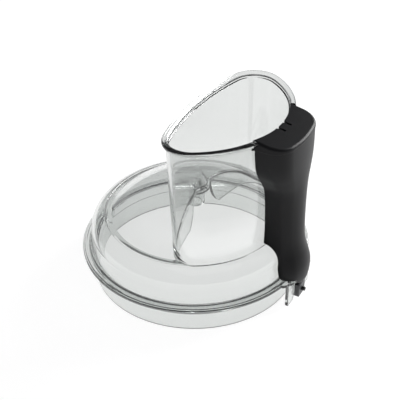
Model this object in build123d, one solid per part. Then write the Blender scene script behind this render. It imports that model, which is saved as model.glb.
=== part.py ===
"""Work-bowl cover of a food processor: a clear domed cover with a half-moon feed tube, and the
black handle housing on its side that holds the sprung interlock rod.

Frame: millimetres, +Z up. The origin is on the cover's axis, in the plane of the skirt's lower
edge, where the cover rests on a table. +X points from the axis to the handle housing.
"""
import os
from math import atan2, cos, hypot, radians, sin, sqrt

from build123d import *

# ---- driving dimensions of the cover ---------------------------------------------------------
WALL = 2.8                      # moulded wall of the clear parts
SKIRT_R = 95.5                  # outside of the skirt that drops into the bowl
SKIRT_WALL = 3.0
PLUG_H, RELIEF = 17.5, 0.8       # height of the skirt's fitting band, and the step in above it
FLANGE_R = 105.0                # outer edge of the flange that sits on the bowl's rim
FLANGE_T = 3.0
FLANGE_TOP = 29.5               # height of the flange's upper face
FOOT_R = 98.6                   # dome wall where it leaves the flange
SHOULDER_ARC_R = 17.5           # outside radius of the rounded shoulder
SHOULDER_C = (78.5, 44.0)       # its centre, as radius and height
STEP_R = 82.3                   # where the shoulder drops into the ring groove
CAP_EDGE_R = 79.9               # edge of the domed deck, inside the groove
CAP_R = 118.0                   # outside radius of the domed deck
CAP_APEX = 90.5                 # height of its highest point
HUB_R, HUB_BORE = 9.0, 6.3       # the hub that hangs under the deck, and its bore
HUB_BOTTOM, HUB_TOP = 69.5, 86.0 # heights of the bore's mouth and of its closed end
LIP_R = 110.4                   # lip of the flange under the handle housing
HALF_LIP = [(105.6, 22.4), (109.0, 18.0)]       # corners of the lip, mirrored in Y
LIP_BLEND = radians(27)         # where the lip leaves the flange's round edge
TAB_X, TAB_T = 103.2, 3.0        # locking tabs that hang from the lip
TAB_IN, TAB_OUT, TAB_LOW = 8.6, 22.0, 3.0
ROD_ROOM = 0.6                  # room round the rod where it passes the lip
RIB_TURNS = (-119.0, 119.0, 180.0)
RIB_H, RIB_PROUD, RIB_W = 8.4, 1.7, 1.8

# ---- driving dimensions of the feed tube -----------------------------------------------------
LOBE_C = (31.0, 53.0)           # centre of the tube's rounded corners, mirrored in Y
LOBE_R = 22.0                   # their outside radius at the mouth
FLAT_X = 2.4                    # where the bowed flat side crosses the X axis, at the mouth
TUBE_BOTTOM, TUBE_TOP = 56.5, 172.5
TUBE_DRAFT = 3.4                # how much the section shrinks from mouth to bottom
RIM_H, RIM_PROUD, RIM_STEP = 5.0, 3.1, 0.9
POCKET = [(14.6, 56.5), (13.6, 68.0), (11.6, 84.0), (0.0, 114.0)]   # radius, height: room for the hub
# Half widths and heights of the flared gap in the flat side, below the deck.
HUB_GAP = [(34.0, 50.0), (27.5, 56.5), (24.0, 60.0), (20.6, 65.0), (18.2, 70.0), (16.2, 77.0), (14.8, 85.6)]
HUB_GAP_X = (-6.0, 24.0)

# ---- driving dimensions of the handle housing and the rod ------------------------------------
SHELL_T = 2.5
SHELL_TOP = 164.0               # where the cap sits on the shell
CAP_HALF, CAP_REACH, CAP_CORNER = 34.9, 105.1, 18.2
CAP_INNER = (78.0, 172.1)       # the cap slopes down from the mouth, given as X and height,
CAP_OUTER = (105.1, 167.0)      # to its outer end
CAP_EDGE = 2.3                  # rounding of its upper edge
BOW = 1.6                       # how far the housing's front bows out
GAP = 0.15                      # fitting gap between the housing and the clear parts
FIT = 0.35                      # clearance round the moving rod
# height, half width, furthest X, corner radius of the housing's section
SECTIONS = [
    (21.0, 13.0, 111.2, 9.0), (23.0, 16.0, 112.2, 11.0), (26.5, 18.8, 112.9, 12.0),
    (33.0, 21.2, 113.2, 13.5), (40.0, 21.0, 112.8, 13.5), (48.0, 19.4, 111.2, 13.0),
    (56.0, 17.9, 109.0, 12.5), (64.0, 17.3, 107.5, 12.5), (76.0, 17.4, 106.6, 12.5),
    (92.0, 18.3, 106.2, 13.0), (108.0, 19.8, 106.0, 13.5), (120.0, 21.8, 105.9, 13.8),
    (130.0, 26.2, 105.8, 15.0), (138.0, 30.2, 105.6, 16.4), (146.0, 32.6, 105.4, 17.2),
    (156.0, 33.9, 105.1, 17.7), (165.4, 34.6, 104.8, 18.0),
]
ROD_W = 7.0
ROD_X = (93.2, 97.8)            # the rod's upper leg, inside the waist
LEG_X = (104.6, 108.6)          # its lower leg, outside the flange
JOG_OUTER, JOG_INNER = (68.0, 43.0), (66.0, 41.0)   # heights where the rod steps from one to the other
LEG_END_Z = 9.0                 # lower end of the rod
HEAD_Z = (155.0, 159.0)         # crosshead
HEAD_DROP = 3.0                 # how far the crosshead reaches down the rod
HEAD_X, HEAD_HALF = (88.0, 99.4), 8.5
FINGER_X, FINGER_HALF, FINGER_H = (86.6, 92.0), 1.0, 4.0
FOOT_Z, FOOT_X, FOOT_HALF = (4.3, 17.0), (101.6, 109.6), 6.0
FOOT_CUT = (2.0, 2.4)           # chamfer of the foot's lower corner, across and up
PEG_X, PEG_Z, PEG_R = (105.6, 113.0), 10.6, 1.9
PEG_ROUND = 0.7
PIN_R, PIN_LEN = 1.25, 13.0
SLOT_Y, SLOT_W, SLOT_END = 5.3, 2.2, 88.4           # slots in the cap for the pusher's prongs
LEAD_IN = [(78.0, 2.6), (84.6, 0.9)]                # X and half width of each slot's flared mouth
PLATE_T, PLATE_LOW = 2.0, 66.0                      # back plate between the housing's sides
SPRING_SEAT_Z, SPRING_TOP_Z = 112.0, 150.8          # the spring's two ends
SPRING_R, WIRE_R, TURNS = 5.2, 0.55, 9
SEAT_T = 1.2
SPRING_END = 0.1                # clear space between the wire and each seat
GUIDE_Z = (104.0, SPRING_SEAT_Z - SEAT_T)


def arc(p, q, r):
    """Arc through three points given in the plane z = 0."""
    return ThreePointArc(p, q, r)


def half_moon(grow, z):
    """Section of the feed tube, grown by an amount: round side, two lobes and a bowed flat side."""
    cx, cy = LOBE_C
    lobe = LOBE_R + grow
    reach = hypot(cx, cy)
    round_r = reach + lobe
    depth = cx - FLAT_X
    flat_r = (depth**2 + cy**2 - LOBE_R**2) / (2 * (depth - LOBE_R)) + grow
    flat_cx = FLAT_X - grow + flat_r
    out = atan2(cy, cx)
    back = atan2(cy, cx - flat_cx)
    mid = (out + back) / 2
    a = (round_r * cos(out), round_r * sin(out))
    b = (cx + lobe * cos(mid), cy + lobe * sin(mid))
    c = (flat_cx + flat_r * cos(back), flat_r * sin(back))
    edges = [
        arc((a[0], -a[1]), (round_r, 0), a),
        arc(a, b, c),
        arc(c, (flat_cx - flat_r, 0), (c[0], -c[1])),
        arc((c[0], -c[1]), (b[0], -b[1]), (a[0], -a[1])),
    ]
    return Pos(0, 0, z) * make_face(edges)


def tube_body(grow_top, z0=TUBE_BOTTOM, z1=TUBE_TOP):
    """Drafted half-moon prism between two heights, with a given growth at the mouth."""
    slope = TUBE_DRAFT / (TUBE_TOP - TUBE_BOTTOM)
    low = half_moon(grow_top - slope * (TUBE_TOP - z0), z0)
    high = half_moon(grow_top - slope * (TUBE_TOP - z1), z1)
    return loft([low, high], ruled=True)


def pocket(grow):
    """Tapered clearance round the hub, which fades out up the tube's flat side."""
    low = (POCKET[0][0] + grow, POCKET[0][1] - 2.0)
    (cone_r, cone_z), (_, tip_z) = POCKET[-2:]
    tip = (0, tip_z + grow * (tip_z - cone_z) / cone_r)
    pts = [(0, low[1]), low] + [(r + grow, z) for r, z in POCKET[:-1]] + [tip]
    outline = make_face(Polyline(*[(r, 0, z) for r, z in pts], close=True))
    return revolve(outline, Axis.Z)


def cap_height(r, inset=0.0):
    """Height of the domed deck at a radius, on its outside or a wall below it."""
    return CAP_APEX - CAP_R + sqrt((CAP_R - inset) ** 2 - r**2)


def shoulder_point(angle, inset=0.0):
    """Point of the shoulder arc, as radius and height."""
    r, z = SHOULDER_C
    reach = SHOULDER_ARC_R - inset
    return (r + reach * cos(angle), z + reach * sin(angle))


def up(p):
    """A radius and height as a point of the XZ plane."""
    return (p[0], 0, p[1])


def cover_solid():
    """The revolved cover: skirt, flange, wall, shoulder, ring groove and domed deck."""
    top = atan2(sqrt(SHOULDER_ARC_R**2 - (STEP_R - SHOULDER_C[0]) ** 2), STEP_R - SHOULDER_C[0])
    floor = cap_height(CAP_EDGE_R)
    inner_top = (SHOULDER_C[0], SHOULDER_C[1] + SHOULDER_ARC_R - WALL)
    cap_in = cap_height(inner_top[0] - 3.0, WALL)
    outer = [
        (SKIRT_R - SKIRT_WALL, 0), (SKIRT_R, 0), (SKIRT_R, PLUG_H),
        (SKIRT_R - RELIEF, PLUG_H + RELIEF), (SKIRT_R - RELIEF, FLANGE_TOP - FLANGE_T),
        (FLANGE_R - 0.8, FLANGE_TOP - FLANGE_T), (FLANGE_R, FLANGE_TOP - FLANGE_T + 0.8),
        (FLANGE_R, FLANGE_TOP - 0.9), (FLANGE_R - 0.9, FLANGE_TOP), (FOOT_R + 1.6, FLANGE_TOP),
        (FOOT_R, FLANGE_TOP + 1.6), (FOOT_R - 0.5, FLANGE_TOP + 4.0), shoulder_point(0),
    ]
    edges = [Polyline(*[up(p) for p in outer])]
    edges.append(arc(up(shoulder_point(0)), up(shoulder_point(top / 2)), up(shoulder_point(top))))
    edges.append(Polyline(up(shoulder_point(top)), up((STEP_R, floor)), up((CAP_EDGE_R, floor))))
    mid = CAP_EDGE_R / 2
    edges.append(arc(up((CAP_EDGE_R, floor)), up((mid, cap_height(mid))), (0, 0, CAP_APEX)))
    edges.append(Polyline((0, 0, CAP_APEX), (0, 0, CAP_APEX - WALL)))
    end = (inner_top[0] - 3.0, cap_in)
    edges.append(arc((0, 0, CAP_APEX - WALL), up((mid, cap_height(mid, WALL))), up(end)))
    edges.append(Polyline(up(end), up(inner_top)))
    half = radians(45)
    edges.append(arc(up(inner_top), up(shoulder_point(half, WALL)), up(shoulder_point(0, WALL))))
    edges.append(Polyline(
        up(shoulder_point(0, WALL)), up((FOOT_R - WALL, FLANGE_TOP)),
        up((SKIRT_R - SKIRT_WALL, FLANGE_TOP)), up((SKIRT_R - SKIRT_WALL, 0)),
    ))
    return revolve(make_face(edges), Axis.Z)


def housing_section(z, half_w, reach, corner, inset=0.0, inner_x=70.0):
    """Plan section of the handle housing: flat sides, and corners that run into a bowed front."""
    w, r = half_w - inset, corner - inset
    x = reach - inset
    cx, cy = x - BOW - r, w - r
    front_r = ((BOW + r) ** 2 + cy**2 - r**2) / (2 * BOW)
    front = atan2(cy, cx - x + front_r)
    half = (front + radians(90)) / 2
    a = (cx + r * cos(front), cy + r * sin(front))
    b = (cx + r * cos(half), cy + r * sin(half))
    edges = [
        Line((inner_x, -w), (cx, -w)),
        arc((cx, -w), (b[0], -b[1]), (a[0], -a[1])),
        arc((a[0], -a[1]), (x, 0), a),
        arc(a, b, (cx, w)),
        Line((cx, w), (inner_x, w)),
        Line((inner_x, w), (inner_x, -w)),
    ]
    return Pos(0, 0, z) * make_face(edges)


def housing_body(inset=0.0, low=0, high=None):
    """Loft through the housing's sections."""
    rows = SECTIONS[low:high]
    return loft([housing_section(*row, inset=inset) for row in rows], ruled=True)


def slope_height(x):
    """Height of the cap's sloping top."""
    (x0, z0), (x1, z1) = CAP_INNER, CAP_OUTER
    return z0 + (z1 - z0) * (x - x0) / (x1 - x0)


def block(x0, x1, y0, y1, z0, z1):
    """Box between two corners."""
    return Pos((x0 + x1) / 2, (y0 + y1) / 2, (z0 + z1) / 2) * Box(x1 - x0, y1 - y0, z1 - z0)


def mirrored(shape):
    """A shape and its mirror image in the XZ plane."""
    return shape + mirror(shape, Plane.XZ)


def write(name, shape):
    """Write one node's solids."""
    if isinstance(shape, list):
        shape = Compound(children=shape)
    export_step(shape, f"parts/{name}.step")


os.makedirs("parts", exist_ok=True)

# ---- clear cover ------------------------------------------------------------------------------
tube_outer = tube_body(0.0)
hub_space = pocket(0.0)
tube_hole = tube_outer - hub_space
cover = cover_solid() - tube_hole
hub_root = CAP_APEX - WALL / 2
hub = Pos(0, 0, (HUB_BOTTOM + hub_root) / 2) * Cylinder(HUB_R, hub_root - HUB_BOTTOM)
bore = Pos(0, 0, (HUB_BOTTOM + HUB_TOP) / 2) * Cylinder(HUB_BORE, HUB_TOP - HUB_BOTTOM)
cover = cover + hub - bore

# Lip under the housing, with a gap for the rod and two hanging tabs that key the bowl's handle.
blend = (FLANGE_R * cos(LIP_BLEND), FLANGE_R * sin(LIP_BLEND))
half_lip = [blend, *HALF_LIP]
other_half = [(x, -y) for x, y in reversed(half_lip)]
lip = make_face([
    Polyline(*half_lip), arc(half_lip[-1], (LIP_R, 0), other_half[0]),
    Polyline(*other_half, half_lip[0]),
])
lip = Pos(0, 0, FLANGE_TOP - FLANGE_T) * extrude(lip, FLANGE_T)
tab_face = make_face(Polyline(
    (TAB_OUT, FLANGE_TOP - FLANGE_T), (TAB_OUT - 0.4, TAB_LOW + 1.5), (TAB_OUT - 1.8, TAB_LOW),
    (TAB_IN + 3.0, TAB_LOW), (TAB_IN, TAB_LOW + 4.0), (TAB_IN, FLANGE_TOP - FLANGE_T), close=True,
))
tab = Plane(origin=(TAB_X, 0, 0), x_dir=(0, 1, 0), z_dir=(1, 0, 0)) * tab_face
tab = extrude(tab, TAB_T, dir=(1, 0, 0))
rod_half = ROD_W / 2 + ROD_ROOM
rod_gap = block(LEG_X[0] - ROD_ROOM, LIP_R + 2, -rod_half, rod_half, 0, FLANGE_TOP + 1)
cover = cover + lip + mirrored(tab) - rod_gap

# Short locking ribs on the skirt, just under the flange.
for turn in RIB_TURNS:
    rib = block(SKIRT_R - RELIEF - 1.0, SKIRT_R + RIB_PROUD, -RIB_W / 2, RIB_W / 2,
                FLANGE_TOP - FLANGE_T - RIB_H, FLANGE_TOP - FLANGE_T + 0.2)
    cover = cover + Rot(0, 0, turn) * rib
write("bowl_cover", cover)

# ---- feed tube --------------------------------------------------------------------------------
rim = tube_body(RIM_PROUD, TUBE_TOP - RIM_H, TUBE_TOP)
cavity = tube_body(-WALL, TUBE_BOTTOM - 1, TUBE_TOP + 1) - pocket(WALL)
mouth = tube_body(-WALL + RIM_STEP, TUBE_TOP - RIM_H, TUBE_TOP + 1)
tube = tube_outer + rim - cavity - mouth - hub_space
gap_faces = [Pos(sum(HUB_GAP_X) / 2, 0, z) * Rectangle(HUB_GAP_X[1] - HUB_GAP_X[0], 2 * half)
             for half, z in HUB_GAP]
tube = tube - loft(gap_faces, ruled=True)
cap_seat = housing_section(SHELL_TOP - GAP, CAP_HALF + GAP, CAP_REACH, CAP_CORNER)
tube = tube - extrude(cap_seat, TUBE_TOP - SHELL_TOP + 1)
write("feed_tube", tube)

# ---- handle housing ---------------------------------------------------------------------------
side = [
    (0, -5), (LIP_R + GAP, -5), (LIP_R + GAP, FLANGE_TOP + GAP), (FOOT_R + 2.0, FLANGE_TOP + GAP),
    (FOOT_R + GAP, FLANGE_TOP + 2), shoulder_point(0, -GAP),
]
over = shoulder_point(radians(90), -GAP)
cover_keepout = revolve(make_face([
    Polyline(*[up(p) for p in side]),
    arc(up(side[-1]), up(shoulder_point(radians(45), -GAP)), up(over)),
    Polyline(up(over), (0, 0, over[1]), (0, 0, -5)),
]), Axis.Z)
tube_keepout = tube_body(GAP, TUBE_BOTTOM, TUBE_TOP)
keepout = cover_keepout + tube_keepout

outer = housing_body()
inner = housing_body(SHELL_T, low=1)
shell = outer - inner - keepout
shell = shell - block(60, 130, -60, 60, SHELL_TOP, 200)
write("housing_shell", shell)

# Back plate: closes the housing against the tube, in the space between its two sides.
plate = tube_body(GAP + PLATE_T, PLATE_LOW, SHELL_TOP - GAP) - tube_body(GAP, PLATE_LOW - 1, TUBE_TOP)
plate = plate & housing_body(SHELL_T, low=1)
plate = plate & block(60, 130, -40, 40, PLATE_LOW, SHELL_TOP - GAP)
write("housing_back", plate)

# Cap: slopes down from the mouth's edge, with two flared slots for the pusher's prongs.
under_slope = make_face(Polyline(
    (60, 0, SHELL_TOP), (CAP_REACH + 5, 0, SHELL_TOP),
    (CAP_REACH + 5, 0, slope_height(CAP_REACH + 5)), (60, 0, slope_height(60)), close=True,
))
cap = extrude(housing_section(SHELL_TOP, CAP_HALF, CAP_REACH, CAP_CORNER), TUBE_TOP)
cap = cap & extrude(under_slope, 60, dir=(0, 1, 0), both=True)
upper_edges = cap.faces().sort_by(Axis.Z)[-1].edges().sort_by(Axis.X)[1:]
cap = fillet(upper_edges, CAP_EDGE)
cap = cap & block(60, 130, -60, 60, SHELL_TOP, TUBE_TOP)
cap = cap - tube_body(RIM_STEP - WALL, SHELL_TOP - 1, TUBE_TOP + 10)
slot = block(70, SLOT_END, SLOT_Y - SLOT_W / 2, SLOT_Y + SLOT_W / 2, SHELL_TOP - 1, TUBE_TOP + 1)
(mouth_x, mouth_half), (throat_x, throat_half) = LEAD_IN
lead_in = make_face(Polyline(
    (mouth_x, SLOT_Y - mouth_half), (throat_x, SLOT_Y - throat_half),
    (throat_x, SLOT_Y + throat_half), (mouth_x, SLOT_Y + mouth_half), close=True,
))
slot = slot + extrude(Pos(0, 0, SHELL_TOP - 1) * lead_in, TUBE_TOP - SHELL_TOP + 2)
cap = cap - mirrored(slot)
write("housing_cap", cap)

# Guide block in the housing's flare, which the rod's upper leg slides through.
guide = block(82, 130, -40, 40, *GUIDE_Z) & housing_body(SHELL_T, low=1)
guide = guide - tube_body(GAP + PLATE_T, PLATE_LOW, TUBE_TOP)
guide = guide - block(ROD_X[0] - FIT, ROD_X[1] + FIT, -ROD_W / 2 - FIT, ROD_W / 2 + FIT, 90, 130)
write("rod_guide", guide)

# ---- interlock rod ----------------------------------------------------------------------------
rod_face = make_face(Polyline(*[(x, 0, z) for x, z in [
    (ROD_X[0], HEAD_Z[1]), (ROD_X[1], HEAD_Z[1]), (ROD_X[1], JOG_OUTER[0]), (LEG_X[1], JOG_OUTER[1]),
    (LEG_X[1], LEG_END_Z), (LEG_X[0], LEG_END_Z), (LEG_X[0], JOG_INNER[1]), (ROD_X[0], JOG_INNER[0]),
]], close=True))
rod = extrude(rod_face, ROD_W / 2, dir=(0, 1, 0), both=True)
stop_pin = Pos(sum(ROD_X) / 2, 0, GUIDE_Z[0] - PIN_R - 0.3) * Rot(90, 0, 0) * Cylinder(PIN_R, PIN_LEN)
peg = Pos((PEG_X[0] + PEG_X[1]) / 2, 0, PEG_Z) * Rot(0, 90, 0) * Cylinder(PEG_R, PEG_X[1] - PEG_X[0])
rod = rod - stop_pin - peg
write("push_rod", rod)

# Pin through the rod, which meets the guide's underside and stops the rod's upward travel.
write("stop_pin", stop_pin)

# Crosshead on the rod's top, with two fingers under the cap's slots.
head_low = HEAD_Z[0] - HEAD_DROP
head = block(*HEAD_X, -HEAD_HALF, HEAD_HALF, head_low, HEAD_Z[1])
fingers = mirrored(block(*FINGER_X, SLOT_Y - FINGER_HALF, SLOT_Y + FINGER_HALF, head_low, HEAD_Z[1] + FINGER_H))
head = head + fingers - block(*ROD_X, -ROD_W / 2, ROD_W / 2, head_low - 1, HEAD_Z[1] + 1)
write("rod_crosshead", head)

# Foot: the dark block on the rod's lower end that works the interlock in the bowl's handle.
foot_face = make_face(Polyline(
    (-FOOT_HALF, FOOT_Z[0]), (FOOT_HALF - FOOT_CUT[0], FOOT_Z[0]), (FOOT_HALF, FOOT_Z[0] + FOOT_CUT[1]),
    (FOOT_HALF, FOOT_Z[1]), (-FOOT_HALF, FOOT_Z[1]), close=True,
))
foot_plane = Plane(origin=(FOOT_X[0], 0, 0), x_dir=(0, 1, 0), z_dir=(1, 0, 0))
foot = extrude(foot_plane * foot_face, FOOT_X[1] - FOOT_X[0], dir=(1, 0, 0))
foot = foot - block(*LEG_X, -ROD_W / 2, ROD_W / 2, LEG_END_Z, 30) - peg
write("rod_foot", foot)

# Peg pressed through the foot into the rod; its rounded end stands out at the front.
peg = fillet(peg.edges().filter_by(GeomType.CIRCLE).sort_by(Axis.X)[-1:], PEG_ROUND)
write("foot_peg", peg)

# Return spring round the rod, its lower seat on the guide and its upper seat on the rod.
spring_x = sum(ROD_X) / 2
clear_rod = block(ROD_X[0] - FIT, ROD_X[1] + FIT, -ROD_W / 2 - FIT, ROD_W / 2 + FIT, 90, 160)
lower_seat = Pos(spring_x, 0, SPRING_SEAT_Z - SEAT_T / 2) * Cylinder(SPRING_R + 1.0, SEAT_T) - clear_rod
write("spring_lower_seat", lower_seat)
upper_seat = Pos(spring_x, 0, SPRING_TOP_Z + SEAT_T / 2) * Cylinder(SPRING_R + 1.0, SEAT_T)
upper_seat = upper_seat - block(*ROD_X, -ROD_W / 2, ROD_W / 2, 90, 160)
write("spring_upper_seat", upper_seat)
rise = SPRING_TOP_Z - SPRING_SEAT_Z - 2 * (WIRE_R + SPRING_END)
path = Helix(rise / TURNS, rise, SPRING_R)
wire = Plane(origin=path @ 0, z_dir=path % 0) * Circle(WIRE_R)
spring = Pos(spring_x, 0, SPRING_SEAT_Z + WIRE_R + SPRING_END) * sweep(wire, path)
write("return_spring", spring)
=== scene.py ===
from math import atan2, cos, hypot, pi, radians, sin, sqrt

import bmesh
import bpy
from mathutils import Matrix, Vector


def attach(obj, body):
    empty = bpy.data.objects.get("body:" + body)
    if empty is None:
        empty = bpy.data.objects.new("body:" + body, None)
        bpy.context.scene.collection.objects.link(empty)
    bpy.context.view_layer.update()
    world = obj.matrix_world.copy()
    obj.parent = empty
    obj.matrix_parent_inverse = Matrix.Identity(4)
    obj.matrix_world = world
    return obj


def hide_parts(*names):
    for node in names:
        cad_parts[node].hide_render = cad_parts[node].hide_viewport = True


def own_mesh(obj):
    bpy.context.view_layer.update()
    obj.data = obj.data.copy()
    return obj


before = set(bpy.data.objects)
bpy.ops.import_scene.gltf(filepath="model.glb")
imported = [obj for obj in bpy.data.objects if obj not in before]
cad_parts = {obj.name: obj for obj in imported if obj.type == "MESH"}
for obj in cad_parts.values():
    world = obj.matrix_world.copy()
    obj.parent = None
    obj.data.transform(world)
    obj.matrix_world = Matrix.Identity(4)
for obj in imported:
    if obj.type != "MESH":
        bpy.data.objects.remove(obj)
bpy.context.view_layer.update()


# ---- Camera and studio ------------------------------------------------------------------------
# The cover stands alone on a seamless white table that glows, under a grey sky that the clear walls
# reflect, with one large soft light beyond the handle housing and a weak one overhead.
LENS_MM = 76.5
CAMERA_AT = (0.3240, -0.5411, 0.5164)
CAMERA_LOOKS = (-0.4140, 0.7029, -0.5783)
CAMERA_RIGHT = (0.8616, 0.5075, 0.0)
CAMERA_ROLL = radians(-0.93)

camera = bpy.data.objects.new("camera", bpy.data.cameras.new("camera"))
bpy.context.collection.objects.link(camera)
camera.data.lens = LENS_MM
camera.data.sensor_width = 36.0
camera.data.clip_start = 0.01
looks = Vector(CAMERA_LOOKS).normalized()
right = Vector(CAMERA_RIGHT).normalized()
upright = right.cross(looks)
turned_right = right * cos(CAMERA_ROLL) + upright * sin(CAMERA_ROLL)
turned_up = upright * cos(CAMERA_ROLL) - right * sin(CAMERA_ROLL)
camera.rotation_mode = "QUATERNION"
columns = (turned_right, turned_up, -looks)
matrix = camera.matrix_world.to_3x3()
for i, column in enumerate(columns):
    matrix.col[i] = column
camera.rotation_quaternion = matrix.to_quaternion()
camera.location = CAMERA_AT
bpy.context.scene.camera = camera
bpy.context.scene.view_settings.view_transform = "Standard"


class Wire:
    """A shader socket that adds, subtracts and multiplies as a number does."""

    def __init__(self, tree, socket):
        self.tree = tree
        self.socket = socket

    def maths(self, operation, other):
        """The result of this socket, an operation, and a number or another socket."""
        settings = {"operation": operation}
        return make_node(self.tree, "ShaderNodeMath", settings, i0=self, i1=other)["Value"]

    def __add__(self, other):
        return self.maths("ADD", other)

    def __mul__(self, other):
        return self.maths("MULTIPLY", other)

    def __sub__(self, other):
        return self.maths("SUBTRACT", other)


def make_node(tree, kind, settings=None, **inputs):
    """Makes one node and returns its outputs by name; i0, i1 and so on name inputs by place."""
    made = tree.nodes.new(kind)
    for key, value in (settings or {}).items():
        if key == "stops":
            for place, (position, colour) in enumerate(value):
                stops = made.color_ramp.elements
                stop = stops[place] if place < len(stops) else stops.new(position)
                stop.position = position
                stop.color = colour
        else:
            setattr(made, key, value)
    for key, value in inputs.items():
        digits = key[1:]
        name = int(digits) if key[0] == "i" and digits.isdigit() else key.replace("_", " ")
        if isinstance(value, Wire):
            tree.links.new(value.socket, made.inputs[name])
        else:
            made.inputs[name].default_value = value
    return {socket.name: Wire(tree, socket) for socket in made.outputs if socket.enabled}


# The sky round the table: mid grey at the sides, and darker overhead.
world = bpy.data.worlds.new("studio")
world.use_nodes = True
world.node_tree.nodes.clear()
bpy.context.scene.world = world
sky = world.node_tree
direction = make_node(sky, "ShaderNodeTexCoord")["Generated"]
height = make_node(sky, "ShaderNodeSeparateXYZ", i0=direction)["Z"]
SKY_STOPS = [
    (0.0, (0.34, 0.34, 0.35, 1)), (0.30, (0.26, 0.26, 0.27, 1)), (1.0, (0.12, 0.12, 0.13, 1)),
]
shade = make_node(sky, "ShaderNodeValToRGB", {"stops": SKY_STOPS}, i0=height)["Color"]
glow = make_node(sky, "ShaderNodeBackground", Color=shade, Strength=1.0)["Background"]
make_node(sky, "ShaderNodeOutputWorld", Surface=glow)

# The table, in metres, a hair under the cover so that the two skins never coincide.
TABLE_HALF, TABLE_Z = 6.0, -0.0002
table = bpy.data.meshes.new("table")
corners = [(-1, -1), (1, -1), (1, 1), (-1, 1)]
table_verts = [(TABLE_HALF * x, TABLE_HALF * y, TABLE_Z) for x, y in corners]
table.from_pydata(table_verts, [], [(0, 1, 2, 3)])
table_top = bpy.data.objects.new("table_top", table)
bpy.context.collection.objects.link(table_top)


def new_material(name, surface_inputs):
    """A Principled material. surface_inputs takes the tree and returns the shader's sockets."""
    material = bpy.data.materials.new(name)
    material.use_nodes = True
    tree = material.node_tree
    tree.nodes.clear()
    shader = make_node(tree, "ShaderNodeBsdfPrincipled", **surface_inputs(tree))["BSDF"]
    make_node(tree, "ShaderNodeOutputMaterial", Surface=shader)
    return material


def table_surface(tree):
    """Matt white that glows, so that the table stays an even white behind the clear walls."""
    place = make_node(tree, "ShaderNodeTexCoord")["Object"]
    cloud = make_node(tree, "ShaderNodeTexNoise", Vector=place, Scale=3.0)["Fac"]
    return {"Base_Color": (0.22, 0.22, 0.22, 1), "Roughness": cloud * 0.1 + 0.7,
            "Specular_IOR_Level": 0.0, "Emission_Color": (1, 1, 1, 1), "Emission_Strength": 0.93}


table.materials.append(new_material("white_table", table_surface))


def soft_light(name, place, aim, size, power):
    """A square area light of a size in metres that points at a place."""
    lamp = bpy.data.lights.new(name, "AREA")
    lamp.size = size
    lamp.energy = power
    holder = bpy.data.objects.new(name, lamp)
    bpy.context.collection.objects.link(holder)
    holder.location = place
    holder.rotation_mode = "QUATERNION"
    holder.rotation_quaternion = (Vector(aim) - Vector(place)).to_track_quat("-Z", "Y")


soft_light("side_light", (0.62, 1.10, 0.60), (0.09, 0, 0.09), 0.8, 26.0)
soft_light("top_light", (0.35, -0.2, 1.5), (0.06, 0, 0.1), 1.2, 1.6)


# ---- Clear plastic ----------------------------------------------------------------------------
# The cover and the feed tube are injection-moulded polycarbonate: clear, faintly grey-green, with a
# polished skin and the slightest waviness left by the mould. Their base colour is painted shade on
# that faint tint: much greyer, for the shade inside the cover, and darker on the skirt and the tube
# than on the deck. Each stop is a share of the height span, in metres.
TINT_AND_SHADE_SPAN = 0.125
TINT_AND_SHADE_STOPS = [
    (0.0, (0.690, 0.710, 0.698, 1)), (0.34, (0.715, 0.733, 0.722, 1)),
    (0.58, (0.815, 0.828, 0.820, 1)), (0.68, (0.800, 0.812, 0.805, 1)),
    (0.86, (0.705, 0.718, 0.710, 1)),
]


def clear_surface(tree):
    """Clear plastic: a faint tint with painted shade that changes with height, faint smears, and a
    slight ripple.
    """
    place = make_node(tree, "ShaderNodeTexCoord")["Object"]
    cloud = make_node(tree, "ShaderNodeTexNoise", Vector=place, Scale=22.0, Detail=3.0)["Fac"]
    smear = make_node(tree, "ShaderNodeTexNoise", Vector=place, Scale=140.0, Detail=4.0)["Fac"]
    ripple = make_node(tree, "ShaderNodeTexNoise", Vector=place, Scale=35.0, Detail=1.0)["Fac"]
    above = make_node(tree, "ShaderNodeSeparateXYZ", i0=place)["Z"]
    level = above + (cloud - 0.5) * 0.01
    rise = make_node(tree, "ShaderNodeMapRange", Value=level, From_Max=TINT_AND_SHADE_SPAN)["Result"]
    # The base colour carries painted shade: greyer than the plastic's own tint, and darker on the
    # skirt and the tube than on the deck.
    tint = make_node(tree, "ShaderNodeValToRGB", {"stops": TINT_AND_SHADE_STOPS}, i0=rise)["Color"]
    wave = make_node(tree, "ShaderNodeBump", Strength=0.05, Distance=0.0004, Height=ripple)
    return {"Base_Color": tint, "Roughness": smear * 0.03 + 0.005, "Normal": wave["Normal"],
            "IOR": 1.585, "Transmission_Weight": 1.0}


clear_plastic = new_material("clear_polycarbonate", clear_surface)


# ---- Bowl cover -------------------------------------------------------------------------------
# One moulded piece: a skirt that drops into the bowl, the flange on the bowl's rim, a rounded
# shoulder, a ring groove and the domed deck, with a hub for the disc stem hanging from its middle.
# Every length from here on is in millimetres.
MM = 0.001
WALL = 2.8
SKIRT_R, SKIRT_IN_R = 95.5, 92.5
PLUG_HIGH, RELIEF = 17.5, 0.8
FLANGE_R, FLANGE_LOW, FLANGE_TOP = 105.0, 26.5, 29.5
WALL_FOOT_R = 98.4
SHOULDER_R, SHOULDER_Z, SHOULDER_ARC = 78.5, 44.0, 17.5
STEP_R, DECK_EDGE_R = 82.3, 79.9
DECK_ARC, DECK_TOP = 118.0, 90.5
INNER_EDGE_R = 75.5
DECK_STEPS, INNER_STEPS = 30, 28
HUB_R, HUB_BORE, HUB_LOW, HUB_HIGH = 9.0, 6.3, 69.5, 86.0


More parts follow.
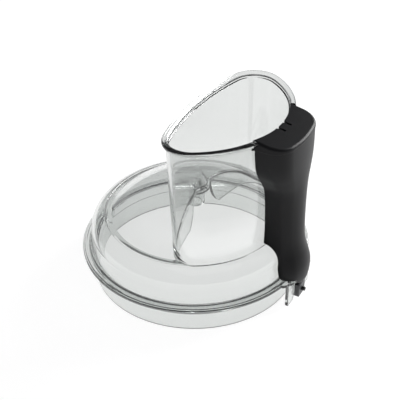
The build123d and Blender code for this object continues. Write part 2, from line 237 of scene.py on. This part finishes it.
def rounded(corners, steps=4):
    """Outline through (x, y, radius) corners, each rounded by an arc; radius 0 keeps the point."""
    outline = []
    count = len(corners)
    for i, (x, y, radius) in enumerate(corners):
        here = Vector((x, y))
        if not radius:
            outline.append((x, y))
            continue
        before = (Vector(corners[i - 1][:2]) - here).normalized()
        after = (Vector(corners[(i + 1) % count][:2]) - here).normalized()
        half = before.angle(after) / 2
        reach = radius * cos(half) / sin(half)
        middle = here + (before + after).normalized() * (radius / sin(half))
        start = here + before * reach - middle
        end = here + after * reach - middle
        sweep = start.angle_signed(end)
        for step in range(steps + 1):
            angle = -sweep * step / steps
            spot = middle + Vector((start.x * cos(angle) - start.y * sin(angle),
                                    start.x * sin(angle) + start.y * cos(angle)))
            outline.append(tuple(spot))
    return outline


def deck_height(radius, inset=0.0):
    """Height of the domed deck's outside, or of a surface inset below it."""
    return DECK_TOP - DECK_ARC + sqrt((DECK_ARC - inset) ** 2 - radius**2)


def solid(name, verts, faces):
    """A closed mesh in millimetres, as an object in metres, with its normals outward."""
    mesh = bpy.data.meshes.new(name)
    mesh.from_pydata([Vector(v) * MM for v in verts], [], faces)
    work = bmesh.new()
    work.from_mesh(mesh)
    bmesh.ops.remove_doubles(work, verts=work.verts, dist=1e-7)
    bmesh.ops.recalc_face_normals(work, faces=work.faces)
    work.to_mesh(mesh)
    work.free()
    piece = bpy.data.objects.new(name, mesh)
    bpy.context.collection.objects.link(piece)
    return piece


def ringed(name, rings, wrap):
    """Joins rings into a closed skin; wrap joins the last to the first, else both are capped."""
    size = len(rings[0])
    verts = [point for ring in rings for point in ring]
    faces = []
    for a in range(len(rings) if wrap else len(rings) - 1):
        b = (a + 1) % len(rings)
        for i in range(size):
            j = (i + 1) % size
            faces.append((a * size + i, a * size + j, b * size + j, b * size + i))
    if not wrap:
        faces.append(tuple(range(size)))
        faces.append(tuple((len(rings) - 1) * size + i for i in range(size)))
    return solid(name, verts, faces)


def prism(name, plan, heights):
    """A plan of (x, y) drawn straight up from the first height to the last."""
    return ringed(name, [[(x, y, z) for x, y in plan] for z in heights], wrap=False)


def turned(name, outline, steps=240):
    """A solid of revolution about Z from an outline of (radius, height)."""
    rings = []
    for step in range(steps):
        angle = 2 * pi * step / steps
        rings.append([(r * cos(angle), r * sin(angle), z) for r, z in outline])
    return ringed(name, rings, wrap=True)


def block(name, low, high, turn=0.0):
    """A plain box between two corners, turned about Z; only used to cut or to be joined."""
    verts = []
    for x in (low[0], high[0]):
        for y in (low[1], high[1]):
            for z in (low[2], high[2]):
                verts.append((x * cos(turn) - y * sin(turn), x * sin(turn) + y * cos(turn), z))
    faces = [(0, 1, 3, 2), (4, 5, 7, 6), (0, 1, 5, 4), (2, 3, 7, 6), (0, 2, 6, 4), (1, 3, 7, 5)]
    return solid(name, verts, faces)


def combine(piece, tool, operation):
    """Joins a tool to a piece, or cuts the piece with it, and removes the tool."""
    step = piece.modifiers.new("combine", "BOOLEAN")
    step.operation = operation
    step.solver = "MANIFOLD"
    step.object = tool
    graph = bpy.context.evaluated_depsgraph_get()
    made = bpy.data.meshes.new_from_object(piece.evaluated_get(graph))
    made.materials.clear()
    piece.modifiers.clear()
    piece.data = made
    bpy.data.objects.remove(tool)


def smooth(piece, angle=32):
    """Smooth shading with creases over an angle, and normals that follow the large faces."""
    piece.data.shade_smooth()
    piece.data.set_sharp_from_angle(angle=radians(angle))
    step = piece.modifiers.new("even_normals", "WEIGHTED_NORMAL")
    step.keep_sharp = True
    step.weight = 80


def arc_points(centre, radius, start, end, steps):
    """Unrounded corners along an arc in the (radius, height) plane, angles in degrees."""
    return [(centre[0] + radius * cos(radians(start + (end - start) * i / steps)),
             centre[1] + radius * sin(radians(start + (end - start) * i / steps)), 0)
            for i in range(steps + 1)]


shoulder_centre = (SHOULDER_R, SHOULDER_Z)
step_reach = STEP_R - SHOULDER_R
step_angle = atan2(sqrt(SHOULDER_ARC**2 - step_reach**2), step_reach) * 180 / pi
groove = deck_height(DECK_EDGE_R)
# A fine bead raised on the flange's top: radius, height above the flange, and rounding.
BEAD = [(103.4, 0.1, 0.3), (102.9, 0.7, 0.3), (101.6, 0.7, 0.3), (101.0, 0.2, 0.4)]
outline = [(SKIRT_IN_R, 0, 0.9), (SKIRT_R, 0, 0.9), (SKIRT_R, PLUG_HIGH, 0.4)]
outline += [(SKIRT_R - RELIEF, PLUG_HIGH + RELIEF, 0.4), (SKIRT_R - RELIEF, FLANGE_LOW, 0.6)]
outline += [(FLANGE_R, FLANGE_LOW, 0.8), (FLANGE_R, FLANGE_TOP, 1.1)]
outline += [(radius, FLANGE_TOP + rise, soft) for radius, rise, soft in BEAD]
outline += [(WALL_FOOT_R, FLANGE_TOP + 0.4, 2.0)]
outline += arc_points(shoulder_centre, SHOULDER_ARC, 0, step_angle - 3, 22)
top_of_step = SHOULDER_Z + SHOULDER_ARC * sin(radians(step_angle))
outline += [(STEP_R, top_of_step, 0.5), (STEP_R - 0.3, groove - 0.1, 0.4)]
outline += [(DECK_EDGE_R, groove, 0.3)]
deck_radii = [DECK_EDGE_R * (1 - i / DECK_STEPS) for i in range(1, DECK_STEPS)]
outline += [(r, deck_height(r), 0) for r in deck_radii]
outline += [(0, DECK_TOP, 0), (0, DECK_TOP - WALL, 0)]
inner_radii = [INNER_EDGE_R * i / INNER_STEPS for i in range(1, INNER_STEPS)]
outline += [(r, deck_height(r, WALL), 0) for r in inner_radii]
outline += [(INNER_EDGE_R, deck_height(INNER_EDGE_R, WALL), 1.5)]
outline += arc_points(shoulder_centre, SHOULDER_ARC - WALL, 86, 0, 18)
outline += [(WALL_FOOT_R - WALL, FLANGE_TOP + 0.5, 1.2), (SKIRT_IN_R, FLANGE_TOP - 2.2, 1.5)]
clear_cover = turned("clear_cover", rounded(outline))

hub = turned("hub", rounded([
    (0, DECK_TOP - 1.4, 0), (0, HUB_HIGH, 0), (HUB_BORE, HUB_HIGH, 0.4), (HUB_BORE, HUB_LOW, 0.4),
    (HUB_R, HUB_LOW, 0.7), (HUB_R, DECK_TOP - 1.8, 0),
]), steps=72)
combine(clear_cover, hub, "UNION")

# The lip under the handle housing, and the two tabs that hang from it and key the bowl's handle.
LIP_R = 110.4
LIP_START = radians(27)
start_of_lip = (FLANGE_R * cos(LIP_START), FLANGE_R * sin(LIP_START))
half_lip = [start_of_lip, (100.6, 33.2), (105.6, 22.4), (109.0, 18.0), (LIP_R, 8.0)]
lip_plan = half_lip + [(x, -y) for x, y in reversed(half_lip)]
lip_soft = rounded([(x, y, 2.0) for x, y in lip_plan[1:-1]], steps=3)
lip_plan = [lip_plan[0]] + lip_soft + [lip_plan[-1]]
LIP_LEVELS = [
    (FLANGE_LOW, 0.9), (FLANGE_LOW + 0.3, 0.25), (FLANGE_LOW + 0.9, 0),
    (FLANGE_TOP - 0.9, 0), (FLANGE_TOP - 0.3, 0.25), (FLANGE_TOP, 0.9),
]
lip_rings = [[(x - shrink, y, z) for x, y in lip_plan] for z, shrink in LIP_LEVELS]
combine(clear_cover, ringed("lip", lip_rings, wrap=False), "UNION")

TAB_IN, TAB_OUT, TAB_LOW = 8.6, 22.0, 3.0
TAB_X, TAB_THICK = 103.2, 3.0
TAB_MIDDLE, TAB_SHARE = 17.0, 8
tab_face = rounded([
    (TAB_OUT, FLANGE_LOW + 1.5, 0), (TAB_OUT - 0.4, TAB_LOW, 2.0), (TAB_IN + 3.0, TAB_LOW, 1.2),
    (TAB_IN, TAB_LOW + 4.0, 1.2), (TAB_IN, FLANGE_LOW + 1.5, 0),
])
TAB_SLICES = [(0, 0.4), (0.4, 0), (TAB_THICK - 0.4, 0), (TAB_THICK, 0.4)]
middle_y = (TAB_IN + TAB_OUT) / 2
for side in (-1, 1):
    tab_rings = []
    for depth, shrink in TAB_SLICES:
        k = 1 - shrink / TAB_SHARE
        slice_points = []
        for y, z in tab_face:
            drawn_z = z if z > FLANGE_LOW else TAB_MIDDLE + (z - TAB_MIDDLE) * k
            slice_points.append((TAB_X + depth, side * (middle_y + (y - middle_y) * k), drawn_z))
        tab_rings.append(slice_points)
    combine(clear_cover, ringed("tab", tab_rings, wrap=False), "UNION")

# Short ribs on the skirt lock the cover in the bowl.
RIB_DEEP, RIB_PROUD, RIB_WIDE = 8.5, 1.7, 1.8
RIB_TURNS = (-119.0, 119.0, 180.0)
rib_low = (SKIRT_R - RELIEF - 0.5, -RIB_WIDE / 2, FLANGE_LOW - RIB_DEEP)
rib_high = (SKIRT_R + RIB_PROUD, RIB_WIDE / 2, FLANGE_LOW + 0.5)
for turn in RIB_TURNS:
    combine(clear_cover, block("rib", rib_low, rib_high, radians(turn)), "UNION")


# ---- Feed tube --------------------------------------------------------------------------------
# A drafted half-moon tube, moulded separately and bonded through the deck. Its rim is rolled
# outwards, and a pointed pocket in its flat side clears the hub.
LOBE_X, LOBE_Y, LOBE_R = 31.0, 53.0, 22.0
FLAT_X = 2.4
TUBE_LOW, TUBE_HIGH, TUBE_DRAFT = 56.5, 172.5, 3.4
RIM_DEEP, RIM_PROUD, RIM_STEP = 5.0, 3.1, 0.9
ROUND_STEPS, LOBE_STEPS, FLAT_STEPS = 70, 30, 140
# The pocket's radius at each height, up to its point.
POCKET = [(14.6, 40.0), (14.6, 56.5), (13.6, 68.0), (11.6, 84.0), (0.0, 114.0)]


def half_moon(grow):
    """Plan of the tube, grown by an amount: round side, lobe, bowed flat side, lobe."""
    reach = hypot(LOBE_X, LOBE_Y)
    lobe = LOBE_R + grow
    depth = LOBE_X - FLAT_X
    flat_r = (depth**2 + LOBE_Y**2 - LOBE_R**2) / (2 * (depth - LOBE_R)) + grow
    flat_x = FLAT_X - grow + flat_r
    out = atan2(LOBE_Y, LOBE_X)
    back = atan2(LOBE_Y, LOBE_X - flat_x)
    plan = []
    for i in range(ROUND_STEPS):
        angle = -out + 2 * out * i / ROUND_STEPS
        plan.append(((reach + lobe) * cos(angle), (reach + lobe) * sin(angle)))
    for i in range(LOBE_STEPS):
        angle = out + (back - out) * i / LOBE_STEPS
        plan.append((LOBE_X + lobe * cos(angle), LOBE_Y + lobe * sin(angle)))
    for i in range(FLAT_STEPS):
        angle = back + 2 * (pi - back) * i / FLAT_STEPS
        plan.append((flat_x + flat_r * cos(angle), flat_r * sin(angle)))
    for i in range(LOBE_STEPS):
        angle = -back + (back - out) * i / LOBE_STEPS
        plan.append((LOBE_X + lobe * cos(angle), -LOBE_Y + lobe * sin(angle)))
    return plan


def pocket_radius(z, skin):
    """Radius of the pocket round the hub at a height, on the outside or a skin inside the wall."""
    for (r0, z0), (r1, z1) in zip(POCKET, POCKET[1:]):
        slope = (r1 - r0) / (z1 - z0)
        top = z1 if r1 else z1 - skin / slope
        if z0 <= z <= top:
            return r0 + slope * (z - z0) + skin
    return 0.0


def tube_ring(grow, z, skin):
    """One level of the tube: the drafted half moon, pushed in round the hub."""
    ring = []
    radius = pocket_radius(z, skin)
    for x, y in half_moon(grow - TUBE_DRAFT * (TUBE_HIGH - z) / (TUBE_HIGH - TUBE_LOW)):
        if abs(y) < radius and x < LOBE_X:
            x = max(x, sqrt(radius**2 - y**2))
        ring.append((x, y, z))
    return ring


FINE_TOP, COARSE_GAP = 126.0, 10.0


def levels(low, high, gap=2.0):
    """Heights between two levels, close together up past the pocket."""
    heights = []
    z = low
    while z < high:
        heights.append(z)
        z += gap if z < FINE_TOP else COARSE_GAP
    return heights


wall_section = rounded([
    (-WALL, TUBE_LOW, 0.7), (0, TUBE_LOW, 0.7), (0, TUBE_HIGH - RIM_DEEP + 0.5, 0.5),
    (RIM_PROUD, TUBE_HIGH - RIM_DEEP + 0.5, 2.1), (RIM_PROUD, TUBE_HIGH, 2.2),
    (RIM_STEP - WALL, TUBE_HIGH, 1.9), (RIM_STEP - WALL, TUBE_HIGH - RIM_DEEP, 0.3),
    (-WALL, TUBE_HIGH - RIM_DEEP - 0.6, 0.4),
], steps=7)
section = []
for (g0, z0), (g1, z1) in zip(wall_section, wall_section[1:] + wall_section[:1]):
    section.append((g0, z0))
    low, high = sorted((z0, z1))
    between = [z for z in levels(TUBE_LOW + 2, TUBE_HIGH - 8) if low + 0.5 < z < high - 0.5]
    for z in between if z1 > z0 else reversed(between):
        section.append((g0 + (g1 - g0) * (z - z0) / (z1 - z0), z))
tube = ringed("tube", [tube_ring(g, z, min(max(-g, 0), WALL)) for g, z in section], wrap=True)

# The housing's cap sits on the tube's cut wall, where the rim stops.
SEAT_HALF, SEAT_Z = 35.05, 163.85
SEAT_NEAR, SEAT_FAR = 60, 100
seat = block("seat", (SEAT_NEAR, -SEAT_HALF, SEAT_Z), (SEAT_FAR, SEAT_HALF, TUBE_HIGH + 5))
combine(tube, seat, "DIFFERENCE")
# The hub hangs in a flared gap in the flat side, below the deck: its half width at each height.
HUB_GAP = [
    (50.0, 34.0), (56.5, 27.5), (60.0, 24.0), (65.0, 20.6),
    (70.0, 18.2), (77.0, 16.2), (85.6, 14.8),
]
BEHIND, AHEAD = -6, 24
gap_rings = []
for z, half in HUB_GAP:
    gap_rings.append([(BEHIND, -half, z), (AHEAD, -half, z), (AHEAD, half, z), (BEHIND, half, z)])
combine(tube, ringed("hub_gap", gap_rings, wrap=False), "DIFFERENCE")

# The deck's cut edge stands a little inside the tube along the flat side.
LEDGE = 1.2
OPENING_LOW, OPENING_HIGH = 45.0, 130.0
opening_rings = []
for z in levels(OPENING_LOW, OPENING_HIGH):
    ring = tube_ring(-WALL / 2 - LEDGE, z, WALL / 2 + LEDGE)
    opening_rings.append([(x + LEDGE, y, z) for x, y, z in ring])
combine(clear_cover, ringed("opening", opening_rings, wrap=False), "DIFFERENCE")
combine(clear_cover, tube, "UNION")
clear_cover.data.materials.append(clear_plastic)
smooth(clear_cover)
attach(clear_cover, "cover")
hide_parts("bowl_cover", "feed_tube")


# ---- Handle housing ---------------------------------------------------------------------------
# A waisted shell of satin black ABS, moulded in one piece and bonded to the tube and the cover.
# It flares at the top to the pusher's width and at the foot to wrap the flange's lip. Each station
# is a height, then the half width, the furthest X and the corner radius there.
STATIONS = [
    (21.0, 13.0, 111.2, 9.0), (23.0, 16.0, 112.2, 11.0), (26.5, 18.8, 112.9, 12.0),
    (33.0, 21.2, 113.2, 13.5), (40.0, 21.0, 112.8, 13.5), (48.0, 19.4, 111.2, 13.0),
    (56.0, 17.9, 109.0, 12.5), (64.0, 17.3, 107.5, 12.5), (76.0, 17.4, 106.6, 12.5),
    (92.0, 18.3, 106.2, 13.0), (108.0, 19.8, 106.0, 13.5), (120.0, 21.8, 105.9, 13.8),
    (130.0, 26.2, 105.8, 15.0), (138.0, 30.2, 105.6, 16.4), (146.0, 32.6, 105.4, 17.2),
    (156.0, 33.9, 105.1, 17.7), (165.4, 34.6, 104.8, 18.0),
]
SHELL_THICK = 2.5
SHELL_LOW, SHELL_HIGH = 21.0, 164.0
RING_GAP = 1.6
BOW = 1.6
INNER_X = 70.0
GAP = 0.15
SIDE_STEPS, CORNER_STEPS, FRONT_STEPS = 10, 14, 6


def station(z):
    """Half width, furthest X and corner radius at a height, on a smooth curve through stations."""
    last = len(STATIONS) - 1
    k = max(i for i in range(last) if STATIONS[i][0] <= z or i == 0)
    z0, z1 = STATIONS[k][0], STATIONS[k + 1][0]
    t = min(max((z - z0) / (z1 - z0), 0), 1)
    values = []
    for column in (1, 2, 3):
        p0, p1 = STATIONS[k][column], STATIONS[k + 1][column]
        before, after = STATIONS[max(k - 1, 0)], STATIONS[min(k + 2, last)]
        m0 = (p1 - before[column]) / (z1 - before[0]) * (z1 - z0)
        m1 = (after[column] - p0) / (after[0] - z0) * (z1 - z0)
        values.append((2 * t**3 - 3 * t**2 + 1) * p0 + (t**3 - 2 * t**2 + t) * m0
                      + (3 * t**2 - 2 * t**3) * p1 + (t**3 - t**2) * m1)
    return values


def housing_plan(half, reach, corner, inset=0.0):
    """Plan of the housing: straight sides, and rounded corners that run into a bowed front."""
    w, r, x = half - inset, corner - inset, reach - inset
    cx, cy = x - BOW - r, w - r
    front_r = ((BOW + r) ** 2 + cy**2 - r**2) / (2 * BOW)
    turn = atan2(cy, cx - x + front_r)
    side = [(INNER_X + (cx - INNER_X) * i / SIDE_STEPS, w) for i in range(SIDE_STEPS)]
    for i in range(CORNER_STEPS):
        angle = pi / 2 + (turn - pi / 2) * i / CORNER_STEPS
        side.append((cx + r * cos(angle), cy + r * sin(angle)))
    for i in range(FRONT_STEPS):
        angle = turn * (1 - i / FRONT_STEPS)
        side.append((x - front_r + front_r * cos(angle), front_r * sin(angle)))
    return [(px, -py) for px, py in side] + [(x, 0.0)] + list(reversed(side))


def housing_block(name, low, high, inset):
    """The housing's outside between two heights, or a solid inset from it."""
    rings = []
    count = int((high - low) / RING_GAP)
    for i in range(count + 1):
        z = low + (high - low) * i / count
        rings.append([(x, y, z) for x, y in housing_plan(*station(z), inset=inset)])
    return ringed(name, rings, wrap=False)


shell = housing_block("housing_shell_skin", SHELL_LOW, SHELL_HIGH, 0.0)
combine(shell, housing_block("inside", SHELL_LOW - 3, SHELL_HIGH + 3, SHELL_THICK), "DIFFERENCE")
# Room for the cover and the tube, a small gap larger than they are.
ROOM_LOW = -5
TUBE_ROOM_LOW, TUBE_ROOM_HIGH, TUBE_ROOM_GAP = 50.0, 180.0, 6.0
room_outline = [
    (0, ROOM_LOW, 0), (LIP_R + GAP, ROOM_LOW, 0), (LIP_R + GAP, FLANGE_TOP + GAP, 0.2),
    (WALL_FOOT_R + 0.5, FLANGE_TOP + GAP + 0.4, 1.8),
]
room_outline += arc_points(shoulder_centre, SHOULDER_ARC + GAP, 0, 90, 24)
room_outline += [(0, SHOULDER_Z + SHOULDER_ARC + GAP, 0)]
combine(shell, turned("cover_room", rounded(room_outline)), "DIFFERENCE")
tube_levels = levels(TUBE_ROOM_LOW, TUBE_ROOM_HIGH, TUBE_ROOM_GAP)
tube_room = ringed("tube_room", [tube_ring(GAP, z, 0) for z in tube_levels], wrap=False)
combine(shell, tube_room, "DIFFERENCE")


def black_surface(tree):
    """Satin black with a fine moulded grain."""
    place = make_node(tree, "ShaderNodeTexCoord")["Object"]
    grain = make_node(tree, "ShaderNodeTexNoise", Vector=place, Scale=2600.0, Detail=2.0)["Fac"]
    cloud = make_node(tree, "ShaderNodeTexNoise", Vector=place, Scale=45.0, Detail=3.0)["Fac"]
    tint = make_node(tree, "ShaderNodeMix", {"data_type": "RGBA"}, Factor=cloud,
                     i6=(0.0024, 0.0024, 0.0032, 1), i7=(0.0038, 0.0038, 0.0048, 1))["Result"]
    skin = make_node(tree, "ShaderNodeBump", Strength=0.12, Distance=0.00005, Height=grain)
    return {"Base_Color": tint, "Roughness": cloud * 0.08 + grain * 0.05 + 0.36,
            "Normal": skin["Normal"], "Specular_IOR_Level": 0.20}


satin_black = new_material("satin_black_abs", black_surface)
shell.data.materials.append(satin_black)
smooth(shell, 40)
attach(shell, "cover")
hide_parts("housing_shell")


# ---- Housing cap ------------------------------------------------------------------------------
# The separate lid of the housing, in the same black. It slopes down from the mouth's edge, closes
# the gap in the rim, and has two flared slots for the pusher's prongs.
CAP_HALF, CAP_REACH, CAP_CORNER = 34.9, 105.1, 18.2
CAP_LOW, CAP_SOFT, CAP_CHAMFER = 164.0, 2.3, 0.35
CHAMFER_RINGS, SOFT_RINGS = 4, 10
# The slope's (X, height) at the mouth's edge and at the front.
CAP_INNER, CAP_OUTER = (78.0, 172.1), (105.1, 167.0)
slope = (CAP_OUTER[1] - CAP_INNER[1]) / (CAP_OUTER[0] - CAP_INNER[0])
cap_rings = []
for i in range(CHAMFER_RINGS):
    t = i / (CHAMFER_RINGS - 1) * pi / 2
    plan = housing_plan(CAP_HALF, CAP_REACH, CAP_CORNER, inset=CAP_CHAMFER * (1 - sin(t)))
    cap_rings.append([(x, y, CAP_LOW + CAP_CHAMFER * (1 - cos(t))) for x, y in plan])
for i in range(SOFT_RINGS):
    t = i / (SOFT_RINGS - 1) * pi / 2
    plan = housing_plan(CAP_HALF, CAP_REACH, CAP_CORNER, inset=CAP_SOFT * (1 - cos(t)))
    drop = CAP_SOFT * (1 - sin(t))
    ring = [(x, y, CAP_INNER[1] + slope * (x - CAP_INNER[0]) - drop) for x, y in plan]
    cap_rings.append(ring)
cap = ringed("housing_cap_lid", cap_rings, wrap=False)
combine(cap, block("over_rim", (60, -60, TUBE_HIGH), (120, 60, 190)), "DIFFERENCE")
MOUTH_LOW, MOUTH_HIGH = 150.0, 180.0
mouth_rings = [tube_ring(RIM_STEP - WALL, z, 0) for z in (MOUTH_LOW, MOUTH_HIGH)]
combine(cap, ringed("mouth", mouth_rings, wrap=False), "DIFFERENCE")
# Each slot runs out from the mouth, and its first part narrows from a flare.
SLOT_Y, SLOT_WIDE, SLOT_START, SLOT_END = 5.3, 2.2, 70, 88.4
FLARE_START, FLARE_END, FLARE_HALF, FLARE_END_HALF = 78.0, 84.6, 2.6, 0.9
CUT_LOW, CUT_HIGH = CAP_LOW - 1, TUBE_HIGH + 1
for side in (-1, 1):
    low_y, high_y = sorted((side * (SLOT_Y - SLOT_WIDE / 2), side * (SLOT_Y + SLOT_WIDE / 2)))
    slot = block("slot", (SLOT_START, low_y, CUT_LOW), (SLOT_END, high_y, CUT_HIGH))
    combine(cap, slot, "DIFFERENCE")
    flare = [(FLARE_START, side * SLOT_Y - FLARE_HALF), (FLARE_END, side * SLOT_Y - FLARE_END_HALF),
             (FLARE_END, side * SLOT_Y + FLARE_END_HALF), (FLARE_START, side * SLOT_Y + FLARE_HALF)]
    combine(cap, prism("flare", flare, (CUT_LOW, CUT_HIGH)), "DIFFERENCE")
cap.data.materials.append(satin_black)
smooth(cap, 40)
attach(cap, "cover")
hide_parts("housing_cap")


# ---- Interlock rod ----------------------------------------------------------------------------
# The rod, its crosshead and its foot are moulded dark grey acetal, which slides without oil. They
# move as one: the foot is pinned to the rod's lower leg with a short black peg.
def acetal_surface(dark, light, rough):
    """A moulded plastic that wanders between two shades, with a roughness to start from."""
    def surface(tree):
        place = make_node(tree, "ShaderNodeTexCoord")["Object"]
        cloud = make_node(tree, "ShaderNodeTexNoise", Vector=place, Scale=180.0, Detail=4.0)["Fac"]
        tint = make_node(tree, "ShaderNodeMix", {"data_type": "RGBA"}, Factor=cloud,
                         i6=dark, i7=light)["Result"]
        skin = make_node(tree, "ShaderNodeBump", Strength=0.15, Distance=0.0001, Height=cloud)
        return {"Base_Color": tint, "Roughness": cloud * 0.12 + rough, "Normal": skin["Normal"]}
    return surface


grey_acetal = new_material("dark_grey_acetal", acetal_surface(
    (0.045, 0.046, 0.048, 1), (0.065, 0.066, 0.070, 1), 0.36))
white_acetal = new_material("white_acetal", acetal_surface(
    (0.70, 0.70, 0.67, 1), (0.78, 0.78, 0.75, 1), 0.40))
black_nylon = new_material("black_nylon", acetal_surface(
    (0.004, 0.004, 0.004, 1), (0.008, 0.008, 0.009, 1), 0.30))


def steel_surface(tree):
    """Drawn stainless steel, satin."""
    place = make_node(tree, "ShaderNodeTexCoord")["Object"]
    drawn = make_node(tree, "ShaderNodeTexNoise", Vector=place, Scale=900.0, Detail=3.0)["Fac"]
    tint = make_node(tree, "ShaderNodeMix", {"data_type": "RGBA"}, Factor=drawn,
                     i6=(0.52, 0.52, 0.53, 1), i7=(0.66, 0.66, 0.67, 1))["Result"]
    return {"Base_Color": tint, "Metallic": 1.0, "Roughness": drawn * 0.2 + 0.22}


spring_steel = new_material("spring_steel", steel_surface)

# The nodes that are shown as the CAD has them, and what each is made of.
CARRIED = {
    "housing_back": satin_black,
    "push_rod": grey_acetal, "rod_crosshead": grey_acetal, "rod_foot": grey_acetal,
    "foot_peg": black_nylon, "rod_guide": white_acetal, "spring_lower_seat": spring_steel,
    "spring_upper_seat": spring_steel, "stop_pin": spring_steel,
}
for node_name, material in CARRIED.items():
    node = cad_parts[node_name]
    node.data.materials.clear()
    node.data.materials.append(material)


# ---- Return spring ----------------------------------------------------------------------------
# Nine turns of drawn stainless wire round the rod, between two washers. In the real cover it
# shortens as the rod goes down and pushes it back up; here it is drawn at one length and rides
# with the cover.
SPRING_X, SPRING_R, WIRE_R, TURNS = 95.5, 5.2, 0.55, 9
SPRING_LOW, SPRING_HIGH, END_ROOM = 112.0, 150.8, 0.1
STEPS_A_TURN, WIRE_SIDES = 36, 12
coil_low = SPRING_LOW + WIRE_R + END_ROOM
coil_rise = SPRING_HIGH - WIRE_R - END_ROOM - coil_low
coil_steps = TURNS * STEPS_A_TURN
coil_rings = []
for i in range(coil_steps + 1):
    angle = 2 * pi * i / STEPS_A_TURN
    middle = coil_low + coil_rise * i / coil_steps
    ring = []
    for k in range(WIRE_SIDES):
        around = 2 * pi * k / WIRE_SIDES
        reach = SPRING_R + WIRE_R * cos(around)
        level = middle + WIRE_R * sin(around)
        ring.append((SPRING_X + reach * cos(angle), reach * sin(angle), level))
    coil_rings.append(ring)
coil = ringed("return_spring_coil", coil_rings, wrap=False)
coil.data.materials.append(spring_steel)
smooth(coil, 60)
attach(coil, "cover")
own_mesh(coil)
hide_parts("return_spring")
